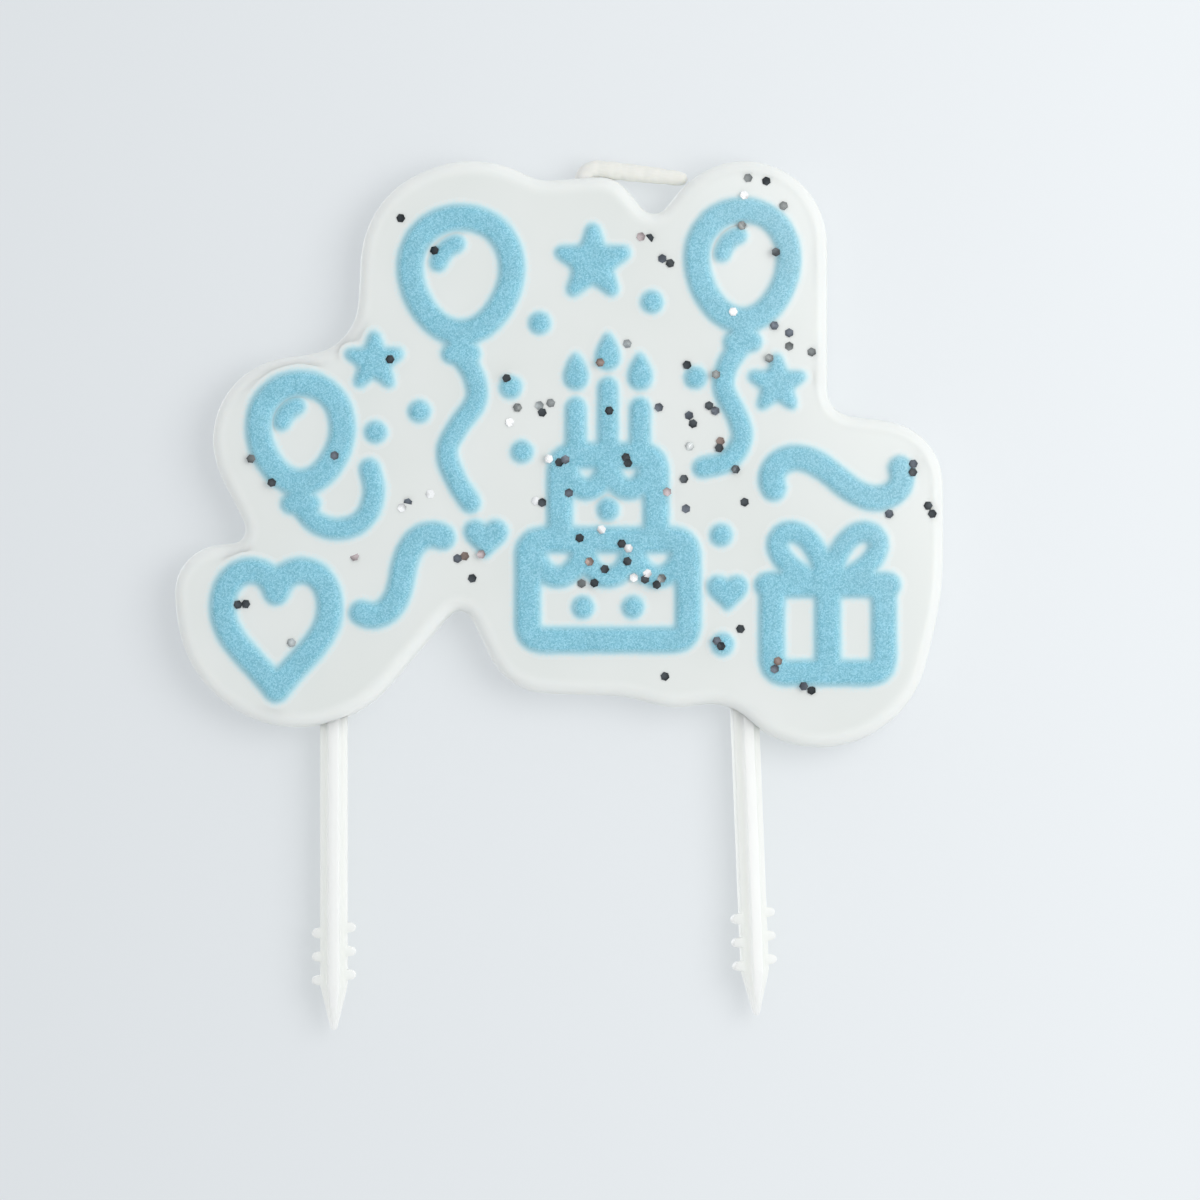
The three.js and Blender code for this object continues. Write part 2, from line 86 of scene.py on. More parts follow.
# where it falls: the share kept far from its centre, the share in pinches, the share that has
# another flake touching it, and the gaps to other flakes and to the edge
GLITTER_SEED = 42
GLITTER_TRIES = 6000
GLITTER_CENTRE = (9 * MM, 40 * MM)
GLITTER_SPREAD = (17 * MM, 15 * MM)
GLITTER_FAR_SHARE = 0.2
PINCH_COUNT = 16
PINCH_SHARE = 0.5
PINCH_SPREAD = 2.6 * MM
TOUCHING_SHARE = 0.22
FLAKE_GAP = 1.25 * FLAKE_WIDTH
FLAKE_EDGE_MARGIN = 2.1 * MM
# how a flake lies: its steepest rest, own tilt and bend as slopes, lift off the wax, the step
# between neighbours that keeps them apart, highest point, and the share sunk in the face
FLAKE_STEEPEST = 0.9
FLAKE_TILT = 0.055
FLAKE_BEND = 0.05
FLAKE_LIFT = 0.02 * MM
FLAKE_LEAST_LIFT = 0.01 * MM
FLAKE_STEP = 0.012 * MM
FLAKE_HIGHEST = 0.9 * MM
FLAKE_FIT_POINTS = 60
SUNK_SHARE = 0.12

# Wick, along the middle of its solid
WICK_RADIUS = 1.16 * MM
WICK_X = 5.6 * MM
WICK_FOOT_Z = 41.15 * MM
WICK_RUN_Z = 72.3 * MM
WICK_BEND = 1.6 * MM
WICK_EXPOSED = 12.8 * MM
WICK_DROOP = 1.25 * MM
WICK_EXIT_Z = 71.0 * MM
WICK_SIDES = 40
WICK_STEP = 0.12 * MM
WICK_ROUND_END = 0.8 * MM
BRAID_PITCH = 1.9 * MM
# how its radius varies, as shares of it: humps of the braid, uneven lumps, wax where it leaves
# the plaque, and how much it thins towards its end
BRAID_HUMP = 0.03
WICK_LUMP = 0.04
WICK_COAT = 0.16
WICK_COAT_LENGTH = 0.9 * MM
WICK_THINNING = 0.2
WICK_THINNING_LENGTH = 9 * MM

# Picks: two crossing ribs, a taper to a blunt tip, and three barbs on each side
PICK_LENGTH = 52.0 * MM
PICK_RIB_WIDTH = 3.4 * MM
PICK_RIB_THICKNESS = 1.4 * MM
PICK_TIP_WIDTH = 0.7 * MM
PICK_TIP_THICKNESS = 0.42 * MM
PICK_TAPER = 5.6 * MM
PICK_EDGE_RADIUS = 0.16 * MM
PICK_FILLET = 0.8 * MM
BARB_DIAMETER = 1.25 * MM
BARB_SPAN = 5.5 * MM
BARB_PITCH = 2.95 * MM
BARB_STAGGER = 0.7 * MM
BARBS_PER_SIDE = 3
PICK_SPACING = 51.5 * MM
PICK_PLACES = {
    "pick_left": {"side": -1, "depth": 35.25 * MM, "lean": 0.0, "turn": 0.0},
    "pick_right": {
        "side": 1, "depth": 33.4 * MM, "lean": math.radians(2.25), "turn": math.radians(15)},
}

# The photograph's frame: its middle, and how wide it is at the topper
VIEW_CENTRE = (7.5 * MM, 18.5 * MM)
VIEW_WIDTH = 150.0 * MM
VIEW_DISTANCE = 0.9
SENSOR = 36.0

# The studio: a table behind the topper and a floor below the photograph's frame, each with half
# its width, the reaches at which it starts to fade and is gone, its paints away from the window
# and towards it, where a lighter second paint is painted window light, and the share of it that
# glows with its own paint, which softens the shadows on it
TABLE = {
    "reach": 0.16, "full": 0.112, "gone": 0.155, "paints": ("e3e7ea", "edf1f4"), "through": 0.35}
TABLE_CLEARANCE = 0.05 * MM
FLOOR = {
    "reach": 1.2, "full": 0.35, "gone": 1.1, "paints": ("e3e7ea", "e3e7ea"), "through": 0.72}
FLOOR_Z = -57.5 * MM
STUDIO_WHITE = "f3f6f8"
WORLD_LIGHT = 0.8


# ---------------------------------------------------------------- small helpers


def linear(colour):
    """An sRGB hex colour as linear red, green, blue and alpha."""
    channels = np.array([int(colour[i : i + 2], 16) for i in (0, 2, 4)]) / 255
    low, high = channels / 12.92, ((channels + 0.055) / 1.055) ** 2.4
    return (*np.where(channels <= 0.04045, low, high).tolist(), 1.0)


def add(tree, kind, inputs=None, **settings):
    """Adds a node with its settings. Each input is given a value, or a socket to link it to."""
    node = tree.nodes.new(kind)
    for key, value in settings.items():
        setattr(node, key, value)
    for key, value in (inputs or {}).items():
        if isinstance(value, bpy.types.NodeSocket):
            tree.links.new(value, node.inputs[key])
        else:
            node.inputs[key].default_value = value
    return node


def new_material(name):
    """An empty material and its tree."""
    material = bpy.data.materials.new(name)
    material.use_nodes = True
    material.node_tree.nodes.clear()
    return material, material.node_tree


def per_metre(size_mm):
    """The scale of a texture whose features are that many millimetres wide."""
    return 1000.0 / size_mm


def smoothstep(low, high, value):
    """0 below low, 1 above high, and 3t^2 - 2t^3 between them."""
    t = np.clip((value - low) / (high - low), 0.0, 1.0)
    return t * t * (3 - 2 * t)


def build(name, points, polygons, material, stands_for=(), values=None, uv=None):
    """A piece of the object from its points and arrays of polygons with one corner count each.
    values are numbers or colours on its points, and uv is one place on the map for each point."""
    mesh = bpy.data.meshes.new(name)
    sizes = np.concatenate([np.full(len(p), p.shape[1]) for p in polygons])
    corners = np.concatenate([p.ravel() for p in polygons]).astype(np.int32)
    mesh.vertices.add(len(points))
    mesh.vertices.foreach_set("co", np.ascontiguousarray(points, np.float32).ravel())
    mesh.loops.add(len(corners))
    mesh.loops.foreach_set("vertex_index", corners)
    mesh.polygons.add(len(sizes))
    starts = np.concatenate([[0], np.cumsum(sizes)[:-1]]).astype(np.int32)
    mesh.polygons.foreach_set("loop_start", starts)
    mesh.update(calc_edges=True)
    mesh.validate()
    mesh.shade_smooth()
    mesh.set_sharp_from_angle(angle=CRISP_ANGLE)
    for key, array in (values or {}).items():
        if array.ndim == 1:
            layer = mesh.attributes.new(key, "FLOAT", "POINT")
            layer.data.foreach_set("value", array.astype(np.float32))
        else:
            layer = mesh.attributes.new(key, "FLOAT_COLOR", "POINT")
            layer.data.foreach_set("color", array.astype(np.float32).ravel())
    if uv is not None:
        layer = mesh.uv_layers.new(name="UVMap")
        layer.data.foreach_set("uv", uv[corners].astype(np.float32).ravel())
    mesh.materials.append(material)
    piece = bpy.data.objects.new(name, mesh)
    bpy.context.scene.collection.objects.link(piece)
    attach(piece, BODY)
    if stands_for:
        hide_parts(*stands_for)
    return piece


def grid_quads(rows, columns, closed=True):
    """Quads between neighbouring rings of a grid of points numbered ring by ring. A closed ring
    has a quad between its last point and its first."""
    i = np.arange(rows - 1)[:, None]
    j = np.arange(columns if closed else columns - 1)[None, :]
    following = (j + 1) % columns
    a, b = i * columns + j, i * columns + following
    return np.stack([a, b, b + columns, a + columns], -1).reshape(-1, 4)


def tube_faces(rows, columns):
    """The faces of a tube of closed rings: the quads between them and a cap at each end."""
    ring = np.arange(columns)
    return [grid_quads(rows, columns), ring[None, ::-1], (rows - 1) * columns + ring[None, :]]


def open_sides(faces, count):
    """The sides of faces, in their direction, that no second face has. count is that of the
    points, by which a side's two numbers become one."""
    corners = faces.shape[1]
    sides = np.concatenate([faces[:, [k, (k + 1) % corners]] for k in range(corners)])
    return sides[~np.isin(sides @ [count, 1], sides[:, ::-1] @ [count, 1])]


def cad_triangles(node):
    """Corner points of a node's triangles, as an array of triangles by corners by x, y, z."""
    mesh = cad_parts[node].data
    points = np.empty(len(mesh.vertices) * 3, np.float32)
    mesh.vertices.foreach_get("co", points)
    mesh.calc_loop_triangles()
    corners = np.empty(len(mesh.loop_triangles) * 3, np.int32)
    mesh.loop_triangles.foreach_get("vertices", corners)
    return points.reshape(-1, 3).astype(float)[corners].reshape(-1, 3, 3)


def face_triangles(node, y):
    """The triangles of a node's flat face at depth y, as x and z of their corners."""
    triangles = cad_triangles(node)
    flat = (np.abs(triangles[:, :, 1] - y) < 0.01 * MM).all(axis=1)
    return triangles[flat][:, :, [0, 2]]


# ---------------------------------------------------------------- materials

WAX_WHITE = "e7eae8"
# the paler white that the wax is painted towards the window: painted light
PAINTED_WINDOW_WHITE = "f1f4f2"


def painted_window_glow(tree, place):
    """How much painted window light the wax gets, 0 to 1: it rises over the 24 mm nearest to the
    upper right corner, nearest the window, where the wax is painted paler as painted light."""
    way = add(tree, "ShaderNodeVectorMath", {
        0: place, 1: (0.88, 0.0, 0.47)}, operation="DOT_PRODUCT")
    rise = add(tree, "ShaderNodeMapRange", {
        "Value": way.outputs["Value"], "From Min": 41 * MM, "From Max": 65 * MM})
    return rise.outputs["Result"]


def white_wax():
    """Paraffin wax with a little pearl, cast in a silicone mould: light goes some millimetres
    into it, the skin is satin, and the tone clouds slightly where the melt cooled unevenly."""
    material, tree = new_material("paraffin_wax_white_pearl")
    place = add(tree, "ShaderNodeTexCoord").outputs["Object"]
    depth = add(tree, "ShaderNodeAttribute", attribute_name="near_edge")
    clouds = add(tree, "ShaderNodeTexNoise", {
        "Vector": place, "Scale": per_metre(17), "Detail": 3.0, "Roughness": 0.5})
    cloudy = add(tree, "ShaderNodeMapRange", {
        "Value": clouds.outputs["Fac"], "From Min": 0.32, "From Max": 0.68})
    tone = add(tree, "ShaderNodeMix", {
        "Factor": cloudy.outputs["Result"], "A": linear("e2e6e3"), "B": linear(WAX_WHITE)},
        data_type="RGBA")
    # painted light: the wax is painted paler towards the upper right corner, nearest the window
    tone = add(tree, "ShaderNodeMix", {
        "Factor": painted_window_glow(tree, place), "A": tone.outputs[2], "B": linear(PAINTED_WINDOW_WHITE)},
        data_type="RGBA")
    # towards the rim the tone goes to one plain white a shade lighter than the wax: a faint painted
    # glow at the thin rim, which also takes the clouds and the painted window light off it
    edge = add(tree, "ShaderNodeMix", {
        "Factor": depth.outputs["Fac"], "A": tone.outputs[2], "B": linear("e8ebe9")},
        data_type="RGBA")
    # pearl pigment is a few hundredths of a millimetre: drawn as coarse as a pixel to show
    pearl = add(tree, "ShaderNodeTexNoise", {
        "Vector": place, "Scale": per_metre(0.3), "Detail": 2.0})
    sheen = add(tree, "ShaderNodeMapRange", {
        "Value": pearl.outputs["Fac"], "From Min": 0.3, "From Max": 0.7,
        "To Min": 0.34, "To Max": 0.46})
    swell = add(tree, "ShaderNodeTexNoise", {
        "Vector": place, "Scale": per_metre(9), "Detail": 1.0})
    skin = add(tree, "ShaderNodeBump", {
        "Height": swell.outputs["Fac"], "Strength": 0.5, "Distance": 0.25 * MM})
    grain = add(tree, "ShaderNodeBump", {
        "Height": pearl.outputs["Fac"], "Strength": 0.25, "Distance": 0.008 * MM,
        "Normal": skin.outputs["Normal"]})
    # the back is the top of the melt: it sets in the open air, in shallow waves, and its last
    # air bubbles leave pits of up to 0.8 mm
    axes = add(tree, "ShaderNodeSeparateXYZ", {"Vector": place})
    open_side = add(tree, "ShaderNodeMapRange", {
        "Value": axes.outputs["Y"], "From Min": 2.8 * MM, "From Max": 2.98 * MM})
    waves = add(tree, "ShaderNodeTexNoise", {
        "Vector": place, "Scale": per_metre(13), "Detail": 1.0, "Distortion": 0.6})
    bubbles = add(tree, "ShaderNodeTexVoronoi", {"Vector": place, "Scale": per_metre(4.5)})
    pits = add(tree, "ShaderNodeMapRange", {
        "Value": bubbles.outputs["Distance"], "From Min": 0.04, "From Max": 0.085,
        "To Min": -0.25, "To Max": 0.0}, interpolation_type="SMOOTHSTEP")
    poured = add(tree, "ShaderNodeMath", {
        0: waves.outputs["Fac"], 1: pits.outputs["Result"]}, operation="ADD")
    back = add(tree, "ShaderNodeBump", {
        "Height": poured.outputs["Value"], "Strength": open_side.outputs["Result"],
        "Distance": 0.9 * MM, "Normal": grain.outputs["Normal"]})
    shader = add(tree, "ShaderNodeBsdfPrincipled", {
        "Base Color": edge.outputs[2], "Roughness": sheen.outputs["Result"], "IOR": 1.44,
        "Subsurface Weight": depth.outputs["Fac"], "Subsurface Radius": (1.0, 0.96, 0.92),
        "Subsurface Scale": 2.8 * MM, "Normal": back.outputs["Normal"]})
    add(tree, "ShaderNodeOutputMaterial", {"Surface": shader.outputs["BSDF"]})
    return material


def blue_wax():
    """The same wax with light blue pearl colour poured over the raised tops: the colour thins to
    a pale halo and then to white on the soft shoulders, and its pigment shows as fine grain."""
    material, tree = new_material("paraffin_wax_light_blue_pearl")
    place = add(tree, "ShaderNodeTexCoord").outputs["Object"]
    cover = add(tree, "ShaderNodeAttribute", attribute_name="cover")
    depth = add(tree, "ShaderNodeMapRange", {
        "Value": cover.outputs["Fac"], "From Min": 0.006, "From Max": 0.1,
        "To Min": 0.0, "To Max": 0.85}, interpolation_type="SMOOTHSTEP")
    # pigment grains of about 0.1 mm, drawn at 0.15 mm so that they show
    grains = add(tree, "ShaderNodeTexVoronoi", {"Vector": place, "Scale": per_metre(0.15)})
    haze = add(tree, "ShaderNodeTexNoise", {
        "Vector": place, "Scale": per_metre(0.3), "Detail": 2.0})
    grain = add(tree, "ShaderNodeMix", {
        "Factor": 0.25, "A": grains.outputs["Color"], "B": haze.outputs["Fac"]}, data_type="RGBA")
    patches = add(tree, "ShaderNodeTexNoise", {
        "Vector": place, "Scale": per_metre(2.6), "Detail": 2.0})
    ragged = add(tree, "ShaderNodeMath", {
        0: grain.outputs[2], 1: 0.12, 2: cover.outputs["Fac"]}, operation="MULTIPLY_ADD")
    drifting = add(tree, "ShaderNodeMath", {
        0: patches.outputs["Fac"], 1: 0.12, 2: ragged.outputs["Value"]}, operation="MULTIPLY_ADD")
    edge = add(tree, "ShaderNodeValToRGB", {"Fac": drifting.outputs["Value"]})
    stops = edge.color_ramp.elements
    stops[0].position, stops[0].color = 0.12, linear(WAX_WHITE)
    stops[1].position, stops[1].color = 0.98, linear("8fcadb")
    for position, colour in ((0.2, "deedef"), (0.34, "c7e6ee"), (0.56, "a8d6e2")):
        stops.new(position).color = linear(colour)
    speckle = add(tree, "ShaderNodeMapRange", {
        "Value": grain.outputs[2], "From Min": 0.25, "From Max": 0.75,
        "To Min": 0.86, "To Max": 1.155})
    mottle = add(tree, "ShaderNodeMapRange", {
        "Value": patches.outputs["Fac"], "From Min": 0.3, "From Max": 0.7,
        "To Min": 0.97, "To Max": 1.03})
    shade = add(tree, "ShaderNodeMath", {
        0: speckle.outputs["Result"], 1: mottle.outputs["Result"]}, operation="MULTIPLY")
    # the brighter grains are pearl, and so less blue
    pure = add(tree, "ShaderNodeMapRange", {
        "Value": grain.outputs[2], "From Min": 0.25, "From Max": 0.75,
        "To Min": 1.12, "To Max": 0.88})
    tinted = add(tree, "ShaderNodeHueSaturation", {
        "Saturation": pure.outputs["Result"], "Value": shade.outputs["Value"],
        "Color": edge.outputs["Color"]})
    on_blue = add(tree, "ShaderNodeMapRange", {
        "Value": drifting.outputs["Value"], "From Min": 0.45, "From Max": 0.7})
    tone = add(tree, "ShaderNodeMix", {
        "Factor": on_blue.outputs["Result"], "A": edge.outputs["Color"],
        "B": tinted.outputs["Color"]}, data_type="RGBA")
    # painted light: the pale tone painted towards the window shows fully at the foot and a little
    # through the blue
    share = add(tree, "ShaderNodeMapRange", {
        "Value": drifting.outputs["Value"], "From Min": 0.12, "From Max": 0.6,
        "To Min": 1.0, "To Max": 0.14})
    pale = add(tree, "ShaderNodeMath", {
        0: share.outputs["Result"], 1: painted_window_glow(tree, place)}, operation="MULTIPLY")
    tone = add(tree, "ShaderNodeMix", {
        "Factor": pale.outputs["Value"], "A": tone.outputs[2], "B": linear(PAINTED_WINDOW_WHITE)},
        data_type="RGBA")
    skin = add(tree, "ShaderNodeBump", {
        "Height": haze.outputs["Fac"], "Strength": 0.3, "Distance": 0.02 * MM})
    shader = add(tree, "ShaderNodeBsdfPrincipled", {
        "Base Color": tone.outputs[2], "Roughness": 0.45, "IOR": 1.44,
        "Subsurface Weight": depth.outputs["Result"], "Subsurface Radius": (0.9, 0.97, 1.0),
        "Subsurface Scale": 0.45 * MM, "Normal": skin.outputs["Normal"]})
    add(tree, "ShaderNodeOutputMaterial", {"Surface": shader.outputs["BSDF"]})
    return material


def pick_plastic():
    """White polystyrene, injection moulded with a little pearl: semi-gloss and milky, so that light
    bleeds round its edges, with faint flow lines along the pick. The thin side ribs are painted
    a greyer, greener white than the deep middle rib: painted shade."""
    material, tree = new_material("polystyrene_white_moulded")
    place = add(tree, "ShaderNodeTexCoord").outputs["Object"]
    drawn_out = add(tree, "ShaderNodeMapping", {"Vector": place, "Scale": (1.0, 1.0, 0.06)})
    flow = add(tree, "ShaderNodeTexNoise", {
        "Vector": drawn_out.outputs["Vector"], "Scale": per_metre(0.7), "Detail": 2.0})
    deep = add(tree, "ShaderNodeAttribute", attribute_name="deep")
    streaks = add(tree, "ShaderNodeMath", {
        0: flow.outputs["Fac"], 1: 0.4, 2: -0.2}, operation="MULTIPLY_ADD")
    whiter = add(tree, "ShaderNodeMath", {
        0: deep.outputs["Fac"], 1: streaks.outputs["Value"]}, operation="ADD", use_clamp=True)
    # painted shade: the thin side ribs take the greyer, greener white and the deep middle rib the
    # whiter one, with the flow lines streaking both
    tone = add(tree, "ShaderNodeMix", {
        "Factor": whiter.outputs["Value"], "A": linear("e7ebe3"), "B": linear("edefeb")},
        data_type="RGBA")
    sheen = add(tree, "ShaderNodeMapRange", {
        "Value": flow.outputs["Fac"], "From Min": 0.3, "From Max": 0.7,
        "To Min": 0.44, "To Max": 0.54})
    skin = add(tree, "ShaderNodeBump", {
        "Height": flow.outputs["Fac"], "Strength": 0.2, "Distance": 0.015 * MM})
    shader = add(tree, "ShaderNodeBsdfPrincipled", {
        "Base Color": tone.outputs[2], "Roughness": sheen.outputs["Result"], "IOR": 1.59,
        "Subsurface Weight": 1.0, "Subsurface Radius": (1.0, 0.98, 0.95),
        "Subsurface Scale": 6.0 * MM, "Normal": skin.outputs["Normal"]})
    add(tree, "ShaderNodeOutputMaterial", {"Surface": shader.outputs["BSDF"]})
    return material


def waxed_cotton():
    """Braided cotton soaked in wax: cream, nearly matt, with the threads of the braid showing
    through the wax, which turns it whiter where it joins the plaque."""
    material, tree = new_material("cotton_wick_waxed")
    around = add(tree, "ShaderNodeUVMap", uv_map="UVMap")
    waxed = add(tree, "ShaderNodeAttribute", attribute_name="waxed")
    # the map is in millimetres along the wick and round it: threads of 0.15 mm, long and fine
    thread_way = add(tree, "ShaderNodeMapping", {
        "Vector": around.outputs["UV"], "Scale": (1 / 0.15, 1 / 1.6, 1.0)})
    threads = add(tree, "ShaderNodeTexNoise", {
        "Vector": thread_way.outputs["Vector"], "Scale": 1.0, "Detail": 3.0, "Roughness": 0.6})
    tone = add(tree, "ShaderNodeMix", {
        "Factor": threads.outputs["Fac"], "A": linear("e5e5df"), "B": linear("f4f4ef")},
        data_type="RGBA")
    coated = add(tree, "ShaderNodeMix", {
        "Factor": waxed.outputs["Fac"], "A": tone.outputs[2], "B": linear("efeeea")},
        data_type="RGBA")
    skin = add(tree, "ShaderNodeBump", {
        "Height": threads.outputs["Fac"], "Strength": 0.4, "Distance": 0.05 * MM})
    shader = add(tree, "ShaderNodeBsdfPrincipled", {
        "Base Color": coated.outputs[2], "Roughness": 0.6, "IOR": 1.44,
        "Subsurface Weight": 0.5, "Subsurface Radius": (1.0, 0.92, 0.8),
        "Subsurface Scale": 0.4 * MM, "Normal": skin.outputs["Normal"]})
    add(tree, "ShaderNodeOutputMaterial", {"Surface": shader.outputs["BSDF"]})
    return material


def glitter_foil():
    """Polyester foil vapour-coated with aluminium and cut to hexagons: each flake is a small
    mirror, from silver to gunmetal and a few copper toned, colours that are partly its coating
    and partly painted reflection."""
    material, tree = new_material("aluminised_polyester_foil")
    tone = add(tree, "ShaderNodeAttribute", attribute_name="tone")
    shader = add(tree, "ShaderNodeBsdfPrincipled", {
        "Base Color": tone.outputs["Color"], "Metallic": 1.0, "Roughness": 0.26})
    add(tree, "ShaderNodeOutputMaterial", {"Surface": shader.outputs["BSDF"]})
    return material


# ---------------------------------------------------------------- plaque


def back_outline(node):
    """The outline of a node's flat back, in order: the open sides of its triangles, followed from
    each to the next."""
    flat = face_triangles(node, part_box(node)[1][1])
    places, index = np.unique(np.round(flat.reshape(-1, 2), 7), axis=0, return_inverse=True)
    alone = open_sides(index.reshape(-1, 3), len(places))
    following = dict(alone.tolist())
    walk = [int(alone[0, 0])]
    while following[walk[-1]] != walk[0]:
        walk.append(following[walk[-1]])
    return places[walk]


def softened(outline, spacing, softness):
    """A closed outline at even spacing, rounded by a Gaussian average along its length."""
    closed = np.vstack([outline, outline[:1]])
    along = np.concatenate([[0], np.cumsum(np.linalg.norm(np.diff(closed, axis=0), axis=1))])
    count = int(round(along[-1] / spacing))
    even = np.linspace(0, along[-1], count, endpoint=False)
    points = np.interp(even, along, closed[:, 0]) + 1j * np.interp(even, along, closed[:, 1])
    waves = np.fft.fftfreq(count, along[-1] / count)
    points = np.fft.ifft(np.fft.fft(points) * np.exp(-2 * (math.pi * softness * waves) ** 2))
    return np.stack([points.real, points.imag], -1)


def edge_profile(low_y, high_y):
    """How far the plaque's edge is drawn in at each depth, from back to front: rings on the flat
    back, a small round, a wall with draft, a quarter circle, and rings on the flat front. With
    them comes how much light goes through the wax there: all at the edge, none far from it."""
    small = np.linspace(0, math.pi / 2, 5)
    large = np.linspace(0, math.pi / 2, 13)
    wall = np.linspace(0, 1, 7)[1:-1]
    back_y = high_y - BACK_ROUND
    front_y = low_y + FRONT_ROUND
    flat = np.linspace(0, 1, 6)
    inset = np.concatenate([
        BACK_ROUND + EDGE_GLOW * flat[:0:-1],
        BACK_ROUND * (1 - np.sin(small)),
        WALL_DRAFT * wall,
        WALL_DRAFT + FRONT_ROUND * (1 - np.cos(large)),
        WALL_DRAFT + FRONT_ROUND + EDGE_GLOW * flat[1:],
    ])
    faded = smoothstep(1.0, 0.0, flat[1:])
    glow = np.concatenate([faded[::-1], np.ones(len(small) + len(wall) + len(large)), faded])
    depth = np.concatenate([
        np.full(len(faded), high_y),
        back_y + BACK_ROUND * np.cos(small),
        back_y + (front_y - back_y) * wall,
        front_y - FRONT_ROUND * np.sin(large),
        np.full(len(faded), low_y),
    ])
    return inset, depth, glow


def plaque_piece(outline, material):
    """The plaque: its edge profile carried round the outline, with a flat face at each end."""
    low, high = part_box("wax_plaque")
    inset, depth, glow = edge_profile(low[1], high[1])
    ahead = np.roll(outline, -1, axis=0) - np.roll(outline, 1, axis=0)
    ahead /= np.linalg.norm(ahead, axis=1, keepdims=True)
    inward = np.stack([-ahead[:, 1], ahead[:, 0]], -1)
    flat = outline[None] + inset[:, None, None] * inward[None]
    points = np.stack([
        flat[..., 0], np.broadcast_to(depth[:, None], flat.shape[:2]), flat[..., 1]], -1)
    return build(
        "plaque_cast_wax", points.reshape(-1, 3), tube_faces(*points.shape[:2]), material,
        ["wax_plaque"], {"near_edge": np.repeat(glow, len(outline))})


# ---------------------------------------------------------------- raised design


def covered(triangles, low, shape, cell, fine=3):
    """The share of each grid cell that flat triangles cover, from fine by fine points in each."""
    rows, columns = shape[0] * fine, shape[1] * fine
    step = cell / fine
    inside = np.zeros((rows, columns), bool)
    for a, b, c in triangles:
        corner = np.array([a, b, c])
        first = np.maximum(((corner.min(axis=0) - low) / step - 1).astype(int), 0)
        last = ((corner.max(axis=0) - low) / step + 2).astype(int)
        x = low[0] + (np.arange(first[0], min(last[0], columns)) + 0.5) * step
        z = low[1] + (np.arange(first[1], min(last[1], rows)) + 0.5) * step
        x, z = np.meshgrid(x, z)
        turns = [(q[0] - p[0]) * (z - p[1]) - (q[1] - p[1]) * (x - p[0])
                 for p, q in ((a, b), (b, c), (c, a))]
        hit = (np.min(turns, axis=0) >= 0) | (np.max(turns, axis=0) <= 0)
        inside[first[1] : last[1], first[0] : last[0]] |= hit
    return inside.reshape(shape[0], fine, shape[1], fine).mean(axis=(1, 3))


def blurred(values, sigma):
    """A Gaussian average over a grid, with sigma in cells."""
    rows, columns = values.shape
    weight = np.exp(-2 * (math.pi * sigma) ** 2 * (
        np.fft.fftfreq(rows)[:, None] ** 2 + np.fft.rfftfreq(columns)[None, :] ** 2))
    return np.fft.irfft2(np.fft.rfft2(values) * weight, s=values.shape)


def relief_height(cover, height):
    """Height over the face for a blurred cover from 0 to 1: half the cover itself and half an
    S-shaped rise, from a thin film on the face to the full height, so that the foot runs out into
    the wax and the crown is flat."""
    rise = (cover + smoothstep(0.0, RELIEF_CROWN, cover)) / 2
    return RELIEF_FILM + (height - RELIEF_FILM) * rise


def relief_piece(node, face_y, material):
    """One raised island as a height field: the cover of its solid's front face, blurred, gives
    the height of each grid point. The sides and the back are set into the wax of the plaque."""
    low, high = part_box(node)
    margin = 4 * RELIEF_SOFTNESS
    low_xz = np.array([low[0], low[2]]) - margin
    size = np.array([high[0], high[2]]) + margin - low_xz
    shape = (int(size[1] / RELIEF_CELL) + 1, int(size[0] / RELIEF_CELL) + 1)
    cover = blurred(
        covered(face_triangles(node, low[1]), low_xz, shape, RELIEF_CELL),
        RELIEF_SOFTNESS / RELIEF_CELL)
    height = relief_height(cover, face_y - low[1])
    x = low_xz[0] + (np.arange(shape[1]) + 0.5) * RELIEF_CELL
    z = low_xz[1] + (np.arange(shape[0]) + 0.5) * RELIEF_CELL
    x, z = np.meshgrid(x, z)
    quads = grid_quads(*shape, closed=False)
    quads = quads[(cover.ravel()[quads] > RELIEF_LEAST_COVER).all(axis=1)]
    used, corners = np.unique(quads, return_inverse=True)
    front = corners.reshape(-1, 4)
    count = len(used)
    start, end = open_sides(front, count).T
    walls = np.stack([end, start, start + count, end + count], -1)
    x, z, height, cover = (v.ravel()[used] for v in (x, z, height, cover))
    points = np.concatenate([
        np.stack([x, face_y - height, z], -1),
        np.stack([x, np.full(count, face_y + RELIEF_SET_IN), z], -1)])
    build(
        node.replace("relief", "raised"), points, [front, front[:, ::-1] + count, walls],
        material, [node], {"cover": np.concatenate([cover, 0 * cover])})
    return np.stack([x, z, height], -1)


# ---------------------------------------------------------------- glitter


def inside_outline(places, outline):
    """Whether each place is inside a closed outline: a ray to the right crosses it an odd number
    of times."""
    x, z = places[:, None, 0], places[:, None, 1]
    a, b = outline[None], np.roll(outline, -1, axis=0)[None]
    spans = (a[..., 1] > z) != (b[..., 1] > z)
    rise = np.where(b[..., 1] == a[..., 1], 1.0, b[..., 1] - a[..., 1])
    crossing = a[..., 0] + (z - a[..., 1]) * (b[..., 0] - a[..., 0]) / rise
    return (spans & (x < crossing)).sum(axis=1) % 2 == 1


